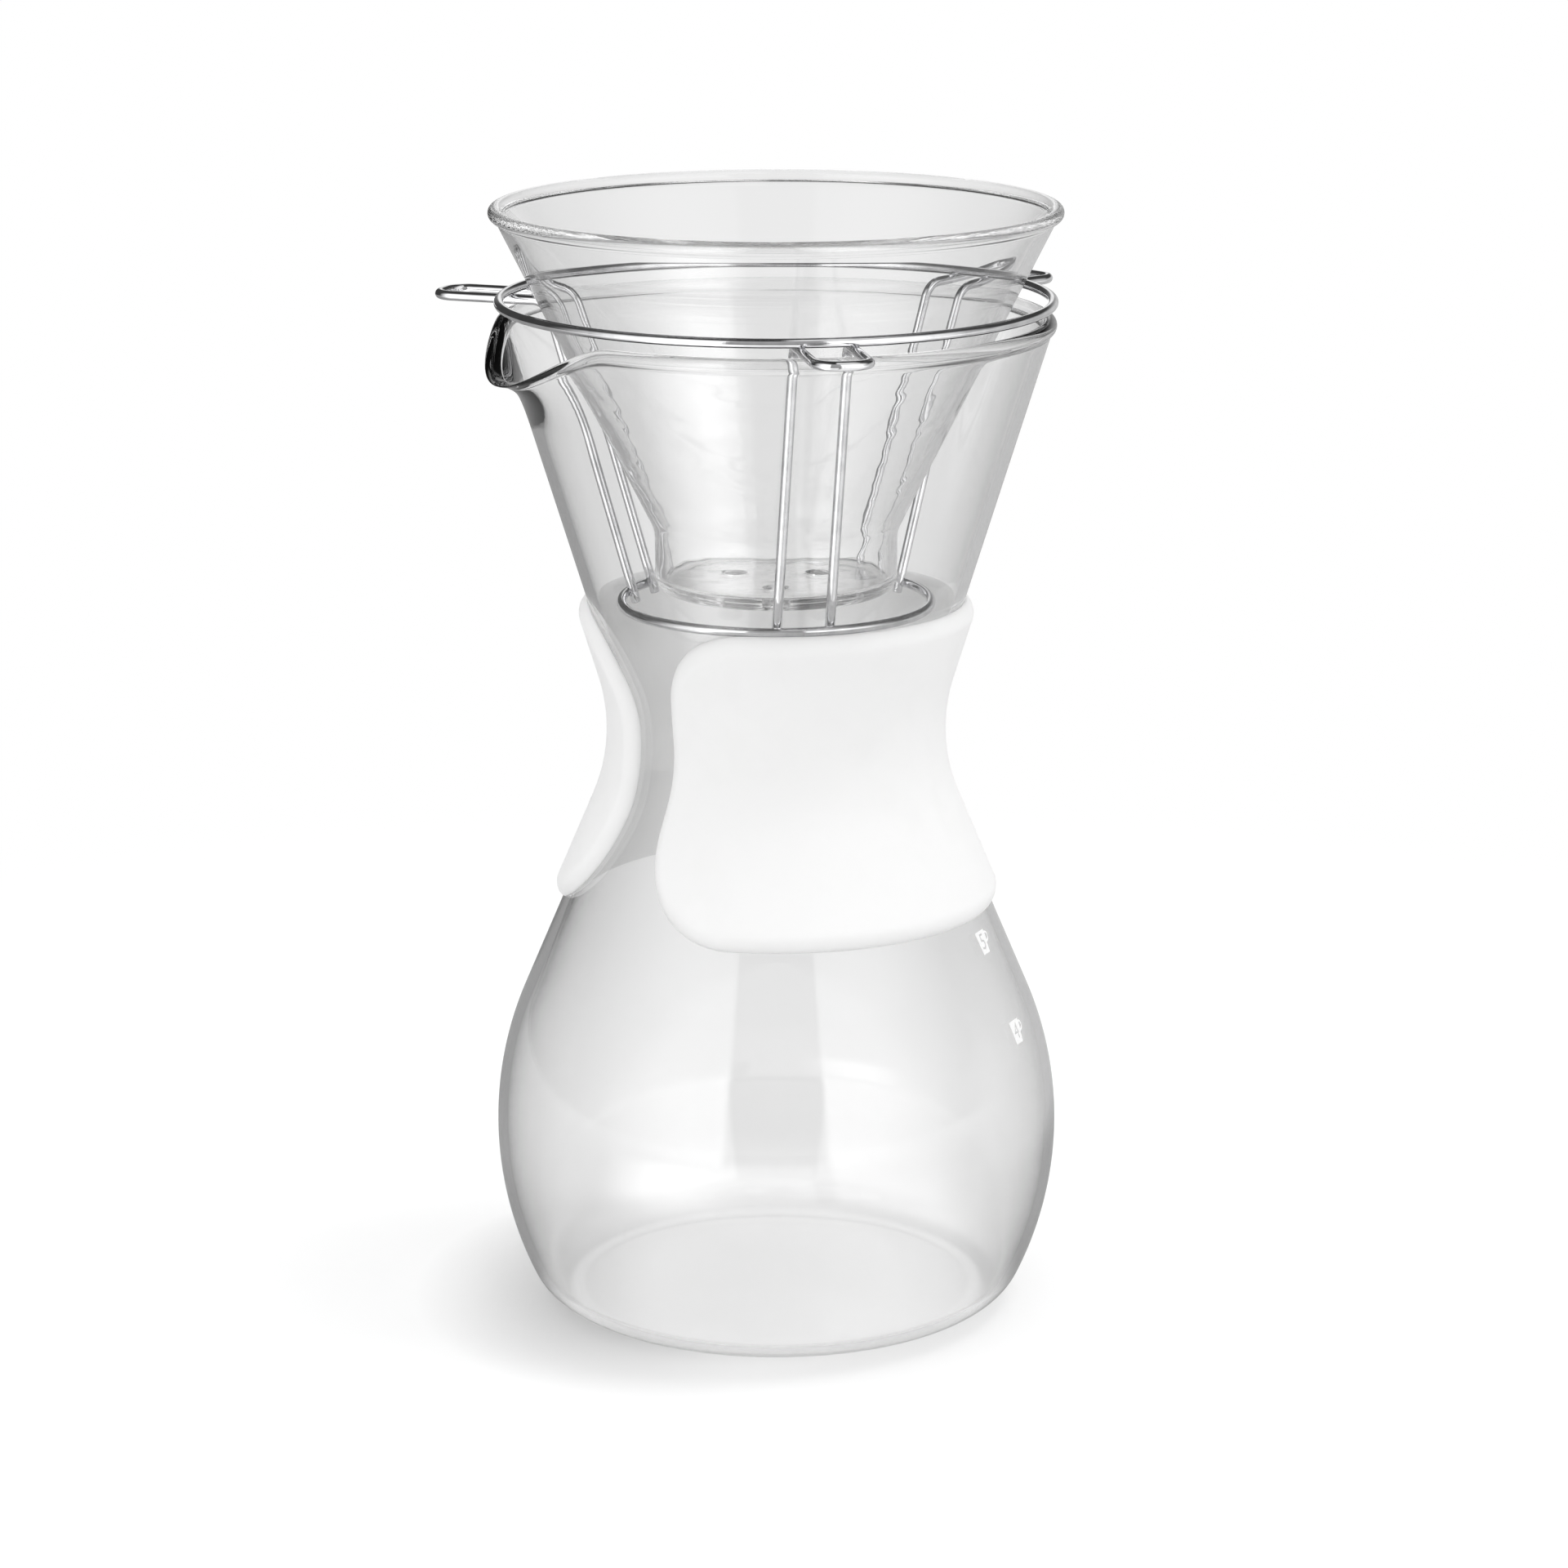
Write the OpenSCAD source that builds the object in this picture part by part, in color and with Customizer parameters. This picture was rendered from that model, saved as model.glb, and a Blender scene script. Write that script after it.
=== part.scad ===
// Pour-over coffee set: a waisted glass carafe with a soft grip sleeve, a wire
// stand that hangs in its mouth, and a glass cone dripper held by the stand.
// Millimetres. The carafe stands on z = 0, its axis is Z and its spout points to -X.

/* [Carafe] */
// Height of the carafe, floor to rim
carafe_h = 206; // [198:0.5:218]
// Widest diameter of the bulb
bulb_d = 116; // [110:1:122]
// Height of the widest place
bulb_z = 37.5; // [35:0.5:41]
// Radius of the arc that draws the bulb's side
bulb_r = 72; // [68:1:76]
// Radius of the corner between the base and the bulb
base_corner_r = 12; // [9:1:16]
// Outer diameter of the glass at the waist
waist_d = 64; // [60:1:68]
// Height of the waist
waist_z = 121.5; // [118:0.5:126]
// Radius of the arc that draws the waist
waist_r = 40; // [36:1:44]
// Lean of the funnel wall above the waist, from upright
cone_angle = 17.2; // [16:0.1:18.5]
// Thickness of the carafe's glass
glass_wall = 2; // [1.6:0.1:2.6]
// Thickness of the rolled rim
rim_bead_d = 3.2; // [2.8:0.1:4]

/* [Pouring spout] */
// How far the lip is drawn out past the rim
spout_reach = 5; // [3:0.5:8]
// How far the lip dips below the rim
spout_dip = 10; // [6:0.5:12]
// Angle from the middle of the spout to where the rim is round again
spout_half_angle = 30; // [24:1:36]
// Height of the wall that the spout is drawn from
spout_h = 22; // [18:1:28]

/* [Grip sleeve] */
// Height of the sleeve's lower edge
sleeve_low = 85; // [78:0.5:92]
// Height of the sleeve's upper edge
sleeve_high = 148.5; // [142:0.5:157]
// Thickness of the sleeve
sleeve_wall = 2.5; // [2:0.1:3.5]
// Angle of the slot down the sleeve's side
sleeve_gap = 20; // [14:0.5:40]
// Direction of the middle of the slot, turned from +X
sleeve_turn = 197.5; // [0:0.5:360]
// Radius of the upper corners at the slot
sleeve_top_corner = 23; // [12:0.5:26]
// Radius of the lower corners at the slot
sleeve_low_corner = 26; // [12:0.5:28]
// Room between the sleeve and the glass
sleeve_clear = 0.2; // [0.15:0.05:0.4]

/* [Wire stand] */
// Thickness of the wire
wire_d = 2; // [1.8:0.1:2.4]
// Depth of the lower ring below the carafe's rim
stand_drop = 58; // [52:0.5:62]
// Room between the lower ring and the carafe's wall
stand_clear = 3.7; // [3:0.1:5]
// How far the upper ring lies inside the edge of the rim
upper_ring_inset = 0.8; // [0.4:0.1:2]
// Spacing of the two legs of a hairpin
leg_gap = 10.5; // [9.5:0.1:12]
// Length of the leg tips below the lower ring
leg_tail = 0.8; // [0.4:0.1:2]
// Radius of the bend at the top of a leg
leg_bend_r = 4; // [3:0.1:5]
// How far a hairpin's loop reaches past the rim
loop_reach = 17; // [12:0.5:19]
// Radius of the loop's corners
loop_corner_r = 4; // [3:0.1:4.5]
// Direction of the first hairpin, turned from +X
hairpin_turn = 15.5; // [5:0.5:25]
// Depth to which welded wires sink into each other
weld_sink = 0.2; // [0.1:0.05:0.3]
// Room between the hairpins and the carafe's rim
rim_clear = 0.2; // [0.1:0.05:0.4]

/* [Dripper] */
// Outer diameter of the dripper's rim
dripper_d = 115; // [110:0.5:118]
// Lean of the dripper's wall, from upright
dripper_angle = 26.6; // [25:0.1:28]
// Thickness of the dripper's glass
dripper_wall = 2; // [1.6:0.1:2.4]
// Thickness of the dripper's rolled rim
dripper_bead_d = 2.8; // [2.6:0.1:3.6]
// Outer diameter of the straight foot
foot_d = 49.2; // [46:0.2:52]
// Height of the straight foot
foot_h = 12.4; // [9:0.2:15]
// Radius of the foot's lower corner
foot_corner_r = 3.2; // [2.6:0.1:4]
// Radius of the blend from the foot to the cone
foot_blend_r = 8; // [5:0.5:12]
// Thickness of the dripper's floor
floor_t = 2.5; // [2:0.1:4]
// Diameter of a drain hole
drain_d = 4.6; // [3.6:0.1:6]
// Diameter of the circle that the drain holes lie on
drain_circle_d = 20; // [16:0.5:24]
// Direction of the first drain hole, turned from +X
drain_turn = 5; // [0:1:60]
// Room between the dripper and the stand's bends
seat_clear = 0.2; // [0.1:0.05:0.4]

/* [Hidden] */
$fn = 96;

// Points on each drawn arc, and flats around the drawn-out rim
arc_steps = 14;
rim_flats = 96;
// How far the drawn-out rim is let into the top of the turned wall below it
rim_let_in = 1;
rim_lap = 0.15;
spout_turn = 180;
// How far a cut runs past the solid that it cuts
cut_past = 1;

hairpin_count = 3;
drain_count = 3;

// Centres of the three arcs that draw the carafe's side, as [radius, height]
bulb_c = [bulb_d / 2 - bulb_r, bulb_z];
waist_c = [waist_d / 2 + waist_r, waist_z];
corner_c = [bulb_c.x + sqrt(pow(bulb_r - base_corner_r, 2) - pow(bulb_z - base_corner_r, 2)),
            base_corner_r];
// Direction in which the corner's arc meets the bulb's arc
corner_angle = atan2(corner_c.y - bulb_c.y, corner_c.x - bulb_c.x);
// Direction of the outward normal of the straight shoulder, the arcs' common tangent
arcs_apart = waist_c - bulb_c;
shoulder_angle = atan2(arcs_apart.y, arcs_apart.x) - acos((bulb_r + waist_r) / norm(arcs_apart));

// Rolled rim of the carafe
rim_c = [cone_r(carafe_h - rim_bead_d / 2, glass_wall / 2), carafe_h - rim_bead_d / 2];
rim_open = acos(glass_wall / rim_bead_d);
rim_edge_r = rim_c.x + rim_bead_d / 2;
spout_root_z = carafe_h - spout_h;

// Wire stand
lower_ring_z = carafe_h - stand_drop;
lower_ring_r = cone_r(lower_ring_z, glass_wall) - stand_clear - wire_d / 2;
loop_z = carafe_h + rim_clear + wire_d / 2;
loop_end = rim_edge_r + loop_reach - wire_d / 2;
upper_ring_r = rim_edge_r - upper_ring_inset;
upper_ring_z = loop_z + wire_d - weld_sink;
// The legs lean as the carafe's wall does, and stand inside the lower ring
leg_lean = cone_angle;
leg_skew = asin(leg_gap / 2 / lower_ring_r);
leg_inset = (wire_d - weld_sink) / (cos(leg_skew) * cos(leg_lean));
leg_ring_u = lower_ring_r * cos(leg_skew) - leg_inset;
leg_low_z = lower_ring_z - wire_d / 2 - leg_tail;
// The wire swells a little in its upright bend, and its straight ends run into the bend
bend_swell = 0.03;
bend_lap_share = 0.15;
bend_d = wire_d * (1 + bend_swell);
bend_lap = wire_d * bend_lap_share;
bend_z = loop_z - leg_bend_r;
leg_top_z = bend_z + leg_bend_r * sin(leg_lean);
bend_u = leg_u(leg_top_z) + leg_bend_r * cos(leg_lean);

// The dripper hangs where its cone meets the six bends
bend_radius_out = norm([bend_u, leg_gap / 2]);
seat_reach = leg_bend_r + bend_d / 2 + seat_clear;
apex_z = bend_z - (bend_radius_out - seat_reach / cos(dripper_angle)) / tan(dripper_angle);
// Its rolled rim is flush with the inner face and stands out from the outer one
dripper_rim_depth = dripper_wall - dripper_bead_d / 2;
dripper_rim_r = dripper_d / 2 - dripper_bead_d / 2;
dripper_rim_z = apex_z + (dripper_rim_r + dripper_rim_depth / cos(dripper_angle)) / tan(dripper_angle);
dripper_rim_open = acos(2 * dripper_rim_depth / dripper_bead_d);
foot_r = foot_d / 2;
blend_c = [foot_r + foot_blend_r,
           apex_z + (foot_r + foot_blend_r - foot_blend_r / cos(dripper_angle)) / tan(dripper_angle)];
foot_low_z = apex_z + foot_r / tan(dripper_angle) - foot_h;

function polar(r, a) = r * [cos(a), sin(a)];
function arc(c, r, from, to) =
    [for (i = [0:arc_steps]) c + polar(r, from + (to - from) * i / arc_steps)];

// Radius of the funnel wall at a height, at a depth inside the outer face
function cone_r(z, depth) =
    waist_c.x + (z - waist_c.y) * tan(cone_angle) - (waist_r + depth) / cos(cone_angle);
// Radius of the straight shoulder at a height, at a depth inside the outer face
function shoulder_r(z, depth) =
    waist_c.x - (waist_r + depth + (z - waist_c.y) * sin(shoulder_angle)) / cos(shoulder_angle);
// Distance of a leg from the axis at a height, along its hairpin's own direction
function leg_u(z) = leg_ring_u + (z - lower_ring_z) * tan(leg_lean);

// Side of the carafe from the base to the top of the waist
function carafe_side(depth) = concat(
    arc(corner_c, base_corner_r - depth, -90, corner_angle),
    arc(bulb_c, bulb_r - depth, corner_angle, shoulder_angle),
    arc(waist_c, waist_r + depth, 180 + shoulder_angle, 180 - cone_angle));

// Turned part of the carafe, up to the root of the spout
function carafe_bowl(depth) = concat(
    [[0, depth]], carafe_side(depth), [[cone_r(spout_root_z, depth), spout_root_z]]);
function backwards(list) = [for (i = [len(list) - 1:-1:0]) list[i]];

// Section of the wall above the root, over the rolled rim and down again
rim_section = concat(
    [[cone_r(spout_root_z - rim_let_in, rim_lap), spout_root_z - rim_let_in],
     [cone_r(spout_root_z, rim_lap), spout_root_z]],
    [for (step = [1:3]) let (z = spout_root_z + spout_h * step / 4) [cone_r(z, 0), z]],
    arc(rim_c, rim_bead_d / 2, -cone_angle - rim_open, 180 - cone_angle + rim_open),
    [for (step = [3:-1:1]) let (z = spout_root_z + spout_h * step / 4) [cone_r(z, glass_wall), z]],
    [[cone_r(spout_root_z, glass_wall - rim_lap), spout_root_z],
     [cone_r(spout_root_z - rim_let_in, glass_wall - rim_lap), spout_root_z - rim_let_in]]);

// Share of the spout's draw at an angle from its middle and at a height
function spout_share(angle, z) =
    abs(angle) >= spout_half_angle || z <= spout_root_z ? 0
    : pow(cos(90 * angle / spout_half_angle) * (z - spout_root_z) / spout_h, 2);
function drawn(p, angle) = let (
    share = spout_share(angle, p.y),
    r = p.x + spout_reach * share)
    [r * cos(spout_turn + angle), r * sin(spout_turn + angle), p.y - spout_dip * share];

module drawn_rim() {
    count = len(rim_section);
    turns = [for (i = [0:rim_flats - 1]) (i - rim_flats / 2) * 360 / rim_flats];
    points = [for (angle = turns) for (p = rim_section) drawn(p, angle)];
    faces = [for (i = [0:rim_flats - 1]) for (j = [0:count - 1])
        let (here = i * count, next = (i + 1) % rim_flats * count, up = (j + 1) % count)
        each [[here + j, here + up, next + up], [here + j, next + up, next + j]]];
    polyhedron(points, faces);
}

module carafe() {
    color("lightcyan", 0.4) union() {
        rotate_extrude() polygon(concat(carafe_bowl(0), backwards(carafe_bowl(glass_wall))));
        drawn_rim();
    }
}

// Cuts one corner of the sleeve round, at the edge of its slot that lies along +X
module corner_cut(z, r, up) {
    over = 0.1;
    far = bulb_d;
    side = r - over + cut_past;
    translate([0, 0, z]) mirror([0, 0, up ? 0 : 1]) difference() {
        translate([0, -cut_past, -r + over]) cube([far, side, side]);
        translate([-cut_past, r - over, -r + over]) rotate([0, 90, 0])
            cylinder(r = r, h = far + 2 * cut_past);
    }
}

module grip_sleeve() {
    cap = sleeve_wall / 2;
    middle = -sleeve_clear - cap;
    low_z = sleeve_low + cap;
    high_z = sleeve_high - cap;
    section = concat(
        arc([shoulder_r(low_z, middle), low_z], cap, 180 + shoulder_angle, 360 + shoulder_angle),
        arc(waist_c, waist_r - sleeve_clear - sleeve_wall, 180 + shoulder_angle, 180 - cone_angle),
        arc([cone_r(high_z, middle), high_z], cap, -cone_angle, 180 - cone_angle),
        arc(waist_c, waist_r - sleeve_clear, 180 - cone_angle, 180 + shoulder_angle));
    color("white") rotate([0, 0, sleeve_turn]) difference() {
        rotate([0, 0, sleeve_gap / 2]) rotate_extrude(angle = 360 - sleeve_gap) polygon(section);
        for (side = [0, 1]) mirror([0, side, 0]) rotate([0, 0, sleeve_gap / 2]) {
            corner_cut(sleeve_high, sleeve_top_corner, true);
            corner_cut(sleeve_low, sleeve_low_corner, false);
        }
    }
}

module wire_ring(r, z) {
    color("silver") translate([0, 0, z]) rotate_extrude() translate([r, 0]) circle(d = wire_d);
}

module upper_ring() {
    wire_ring(upper_ring_r, upper_ring_z);
}

module lower_ring() {
    wire_ring(lower_ring_r, lower_ring_z);
}

// Part of a wire ring, from +X towards +Y
module wire_bend(r, angle, thick) {
    rotate_extrude(angle = angle) translate([r, 0]) circle(d = thick);
}

// Half of a hairpin that points along +X, placed from the middle of its leg's bend:
// the leg hangs from the bend, and the loop goes on from it to the middle of its end
module half_hairpin() {
    leg_l = (leg_top_z - leg_low_z) / cos(leg_lean);
    run_l = loop_end - loop_corner_r - bend_u;
    rotate([90, 0, 0]) rotate([0, 0, 90]) wire_bend(leg_bend_r, 90 - leg_lean, bend_d);
    rotate([0, leg_lean, 0]) translate([-leg_bend_r, 0, -leg_l])
        cylinder(d = wire_d, h = leg_l + bend_lap);
    translate([0, 0, leg_bend_r]) {
        translate([-bend_lap, 0, 0]) rotate([0, 90, 0]) cylinder(d = wire_d, h = run_l + bend_lap);
        translate([run_l, -loop_corner_r, 0]) {
            wire_bend(loop_corner_r, 90, wire_d);
            translate([loop_corner_r, 0, 0]) rotate([90, 0, 0])
                cylinder(d = wire_d, h = leg_gap / 2 - loop_corner_r);
        }
    }
}

// One hairpin: two legs, their bends, and the loop over the rim
module hairpin(turn) {
    color("silver") rotate([0, 0, turn]) translate([bend_u, 0, bend_z])
        for (side = [0, 1]) mirror([0, side, 0]) translate([0, leg_gap / 2, 0]) half_hairpin();
}

function hairpin_angle(i) = hairpin_turn + 360 / hairpin_count * i;

module hairpin_right() {
    hairpin(hairpin_angle(0));
}

module hairpin_back() {
    hairpin(hairpin_angle(1));
}

module hairpin_front() {
    hairpin(hairpin_angle(2));
}

module dripper() {
    corner_r = foot_corner_r - dripper_wall;
    section = concat(
        [[0, foot_low_z]],
        arc([foot_r - foot_corner_r, foot_low_z + foot_corner_r], foot_corner_r, -90, 0),
        arc(blend_c, foot_blend_r, 180, 180 - dripper_angle),
        arc([dripper_rim_r, dripper_rim_z], dripper_bead_d / 2,
            -dripper_angle - dripper_rim_open, 180 - dripper_angle),
        arc(blend_c, foot_blend_r + dripper_wall, 180 - dripper_angle, 180),
        arc([foot_r - foot_corner_r, foot_low_z + floor_t + corner_r], corner_r, 0, -90),
        [[0, foot_low_z + floor_t]]);
    color("azure", 0.4) difference() {
        rotate_extrude() polygon(section);
        for (i = [0:drain_count - 1]) rotate([0, 0, drain_turn + 360 / drain_count * i])
            translate([drain_circle_d / 2, 0, foot_low_z - cut_past])
                cylinder(d = drain_d, h = floor_t + 2 * cut_past);
    }
}

carafe();
grip_sleeve();
upper_ring();
lower_ring();
hairpin_right();
hairpin_back();
hairpin_front();
dripper();
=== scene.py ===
"""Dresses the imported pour-over coffee set: glass carafe, grip sleeve, wire stand and glass dripper.

Lengths in the classes are millimetres and angles are degrees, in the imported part's own frame: the carafe
stands on z = 0, its axis is Z and its spout points to -X. A mesh is scaled to metres when it is made.
A single number where a shader takes a colour is a grey.
"""

import logging
from collections.abc import Callable, Mapping, Sequence
from dataclasses import dataclass, field
from enum import Enum

import bpy
import numpy as np
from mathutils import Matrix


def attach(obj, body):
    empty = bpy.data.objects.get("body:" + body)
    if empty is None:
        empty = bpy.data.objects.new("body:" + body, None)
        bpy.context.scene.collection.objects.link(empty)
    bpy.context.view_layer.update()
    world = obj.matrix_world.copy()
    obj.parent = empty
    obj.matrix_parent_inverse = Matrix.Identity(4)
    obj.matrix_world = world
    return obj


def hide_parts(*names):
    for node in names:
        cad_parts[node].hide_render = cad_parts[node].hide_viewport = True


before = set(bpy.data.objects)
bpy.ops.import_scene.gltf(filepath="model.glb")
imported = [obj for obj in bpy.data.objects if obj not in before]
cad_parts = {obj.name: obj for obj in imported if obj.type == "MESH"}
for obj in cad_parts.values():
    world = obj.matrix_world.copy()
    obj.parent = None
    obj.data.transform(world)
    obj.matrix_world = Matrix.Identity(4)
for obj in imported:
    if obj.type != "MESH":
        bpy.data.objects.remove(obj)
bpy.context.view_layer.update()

MM = 0.001
# A length or a share below this counts as nothing.
TOUCH = 1e-6
Colour = tuple[float, float, float, float]
Triple = tuple[float, float, float]
Span = tuple[float, float]
Finish = bpy.types.Material
Thing = bpy.types.Object
log = logging.getLogger("coffee_set")


class Body(Enum):
    """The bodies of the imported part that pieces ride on."""

    CARAFE = "carafe"
    GRIP = "grip"
    STAND = "stand"
    DRIPPER = "dripper"


class Slot(Enum):
    """The record's material slots."""

    CARAFE_GLASS = "carafe_glass"
    GRIP_SILICONE = "grip_silicone"
    STAND_WIRE = "stand_wire"
    DRIPPER_GLASS = "dripper_glass"


class Ray(Enum):
    """The kinds of ray that a shader can tell apart."""

    CAMERA = "Is Camera Ray"
    SHADOW = "Is Shadow Ray"
    DIFFUSE = "Is Diffuse Ray"
    GLOSSY = "Is Glossy Ray"
    TRANSMISSION = "Is Transmission Ray"


def cosd(angle: float | np.ndarray) -> float | np.ndarray:
    """Cosine of an angle in degrees."""
    return np.cos(np.radians(angle))


def sind(angle: float | np.ndarray) -> float | np.ndarray:
    """Sine of an angle in degrees."""
    return np.sin(np.radians(angle))


def tand(angle: float) -> float:
    """Tangent of an angle in degrees."""
    return float(np.tan(np.radians(angle)))


def arc(centre: Sequence[float], radius: float, start: float, end: float, steps: int) -> np.ndarray:
    """Points on an arc: centre plus radius times (cosine, sine) of steps + 1 evenly spaced angles."""
    angles = np.linspace(start, end, steps + 1)
    return np.asarray(centre) + radius * np.stack([cosd(angles), sind(angles)], axis=1)


def line(start: Sequence[float], end: Sequence[float], steps: int) -> np.ndarray:
    """Points at steps + 1 even shares of a straight line, both ends included."""
    share = np.linspace(0.0, 1.0, steps + 1)[:, None]
    return np.asarray(start) * (1.0 - share) + np.asarray(end) * share


def chain(*stretches: np.ndarray) -> np.ndarray:
    """Joins stretches end to end and leaves out a point that repeats the one before it.

    Args:
        stretches: Arrays of points.

    Returns:
        One array of points.
    """
    points = np.concatenate(stretches)
    gaps = np.linalg.norm(np.diff(points, axis=0), axis=1)
    return points[np.concatenate([[True], gaps > TOUCH])]


def eased(steps: int) -> np.ndarray:
    """Values from 0 to 1 that crowd at both ends: (1 - cos(pi t)) / 2 for even t."""
    return (1.0 - np.cos(np.pi * np.linspace(0.0, 1.0, steps + 1))) / 2.0


def around(columns: int) -> np.ndarray:
    """Angles of evenly spaced columns round the axis, from 0."""
    return np.arange(columns) * 360.0 / columns


def turned(profile: np.ndarray, angles: np.ndarray) -> np.ndarray:
    """Carries a profile round the axis: (r cos a, r sin a, z) for every point and angle.

    Args:
        profile: Points as (radius, height).
        angles: Angles of the columns.

    Returns:
        A grid of points, one row for each point of the profile.
    """
    radius, height = profile[:, :1], profile[:, 1:]
    flat = np.zeros_like(angles)[None, :]
    return np.stack([radius * cosd(angles), radius * sind(angles), height + flat], axis=2)


def beaded(centre: Sequence[float], radius: float, lean: float, outer: float, inner: float,
           fillet: float, fillet_steps: int = 8, bead_steps: int = 26) -> np.ndarray:
    """Half section of a rolled rim on a leaning wall, with a fillet where each face runs into the bead.

    A fillet touches the face and the bead: its centre lies the fillet's radius outside the face, and the
    sum of the two radii from the bead's centre.

    Args:
        centre: Middle of the bead, as (radius from the axis, height).
        radius: Radius of the bead.
        lean: Lean of the wall, outwards from upright.
        outer: Distance of the bead's middle from the wall's outer face.
        inner: Distance of the bead's middle from the wall's inner face.
        fillet: Radius of the fillets.
        fillet_steps: Intervals on a fillet.
        bead_steps: Intervals on the bead.

    Returns:
        Points from the outer face, over the bead, to the inner face.
    """
    out, up = np.array([cosd(lean), -sind(lean)]), np.array([sind(lean), cosd(lean)])
    turns, middles = [], []
    for side, depth in ((1.0, outer), (-1.0, inner)):
        drop = np.sqrt((radius + fillet) ** 2 - (depth + fillet) ** 2)
        turns.append(float(np.degrees(np.arcsin(drop / (radius + fillet)))))
        middles.append(np.asarray(centre) + side * (depth + fillet) * out - drop * up)
    return chain(
        arc(middles[0], fillet, 180.0 - lean, 180.0 - lean - turns[0], fillet_steps),
        arc(centre, radius, -lean - turns[0], 180.0 - lean + turns[1], bead_steps),
        arc(middles[1], fillet, turns[1] - lean, -lean, fillet_steps))


def swept(path: np.ndarray, radii: np.ndarray, sides: int) -> np.ndarray:
    """Carries a circle along a path, square to its direction at every point.

    Each ring is path + radius (N cos a + B sin a), where N is the direction crossed with a fixed slanting
    vector that the path never follows, and B is the direction crossed with N.

    Args:
        path: Points of the centre line.
        radii: Radius of the ring at each point.
        sides: Points on a ring.

    Returns:
        A grid of points, one row for each point of the path.
    """
    slanting = np.array([0.0, 1.0, 1.0])
    along = np.gradient(path, axis=0)
    along /= np.linalg.norm(along, axis=1, keepdims=True)
    normal = np.cross(along, slanting)
    normal /= np.linalg.norm(normal, axis=1, keepdims=True)
    beside = np.cross(along, normal)
    angles = around(sides)
    ring = normal[:, None] * cosd(angles)[None, :, None] + beside[:, None] * sind(angles)[None, :, None]
    return path[:, None] + radii[:, None, None] * ring


def linked(name: str, data: bpy.types.ID) -> Thing:
    """Makes an object and links it to the scene.

    Args:
        name: Name of the object.
        data: Its mesh, curve, camera or lamp.

    Returns:
        The object.
    """
    thing = bpy.data.objects.new(name, data)
    bpy.context.scene.collection.objects.link(thing)
    return thing


@dataclass
class MeshDraft:
    """Faces gathered from grids of points, in millimetres, before they become one mesh."""

    weld_digits: int = 4
    points: list[np.ndarray] = field(default_factory=list)
    quads: list[np.ndarray] = field(default_factory=list)
    count: int = 0

    def grid(self, points: np.ndarray, wrap_rows: bool = False, wrap_columns: bool = False) -> "MeshDraft":
        """Adds a grid: each face joins a point to its right, upper right and upper neighbours.

        Args:
            points: Points by row and column.
            wrap_rows: Whether the last row joins the first.
            wrap_columns: Whether the last column joins the first.

        Returns:
            The draft itself.
        """
        rows, columns = points.shape[:2]
        index = self.count + np.arange(rows * columns).reshape(rows, columns)
        index = np.concatenate([index, index[:1]], axis=0) if wrap_rows else index
        index = np.concatenate([index, index[:, :1]], axis=1) if wrap_columns else index
        faces = np.stack([index[:-1, :-1], index[:-1, 1:], index[1:, 1:], index[1:, :-1]], axis=2)
        self.points.append(points.reshape(-1, 3))
        self.quads.append(faces.reshape(-1, 4))
        self.count += rows * columns
        return self

    def welded(self) -> tuple[np.ndarray, np.ndarray, np.ndarray]:
        """Merges points that lie together and sorts the faces into quads and triangles.

        Returns:
            The points, the quads and the triangles, with all faces turned outwards.
        """
        points = np.concatenate(self.points)
        quads = np.concatenate(self.quads)
        _, first, merged = np.unique(
            np.round(points, self.weld_digits), axis=0, return_index=True, return_inverse=True)
        points, quads = points[first], merged.reshape(-1)[quads]
        same = quads == np.roll(quads, -1, axis=1)
        whole = quads[~same.any(axis=1)]
        once = same.sum(axis=1) == 1
        keep = (same[once].argmax(axis=1)[:, None] + np.arange(1, 4)) % 4
        triangles = np.take_along_axis(quads[once], keep, axis=1)
        corners = points[np.concatenate([whole[:, [0, 1, 2]], whole[:, [0, 2, 3]], triangles])]
        volume = np.einsum("ij,ij->i", corners[:, 0], np.cross(corners[:, 1], corners[:, 2])).sum()
        turn = 1 if volume > 0 else -1
        return points, whole[:, ::turn], triangles[:, ::turn]

    def make(self, name: str) -> Thing:
        """Makes a smooth-shaded object at the origin, with its place in its mesh.

        Args:
            name: Name of the piece.

        Returns:
            The object, linked to the scene.
        """
        points, quads, triangles = self.welded()
        mesh = bpy.data.meshes.new(name)
        mesh.from_pydata((points * MM).tolist(), [], quads.tolist() + triangles.tolist())
        mesh.polygons.foreach_set("use_smooth", np.ones(len(mesh.polygons), dtype=bool))
        mesh.update()
        return linked(name, mesh)


def math_method(operation: str, swapped: bool = False) -> Callable[["Channel", "Operand"], "Channel"]:
    """Makes an arithmetic method of a channel.

    Args:
        operation: What the method's Math node does.
        swapped: Whether the channel is the second value.

    Returns:
        The method.
    """
    def method(self: "Channel", other: "Operand") -> "Channel":
        """Adds the Math node."""
        return self.math(operation, *((other, self) if swapped else (self, other)))
    return method


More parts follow.
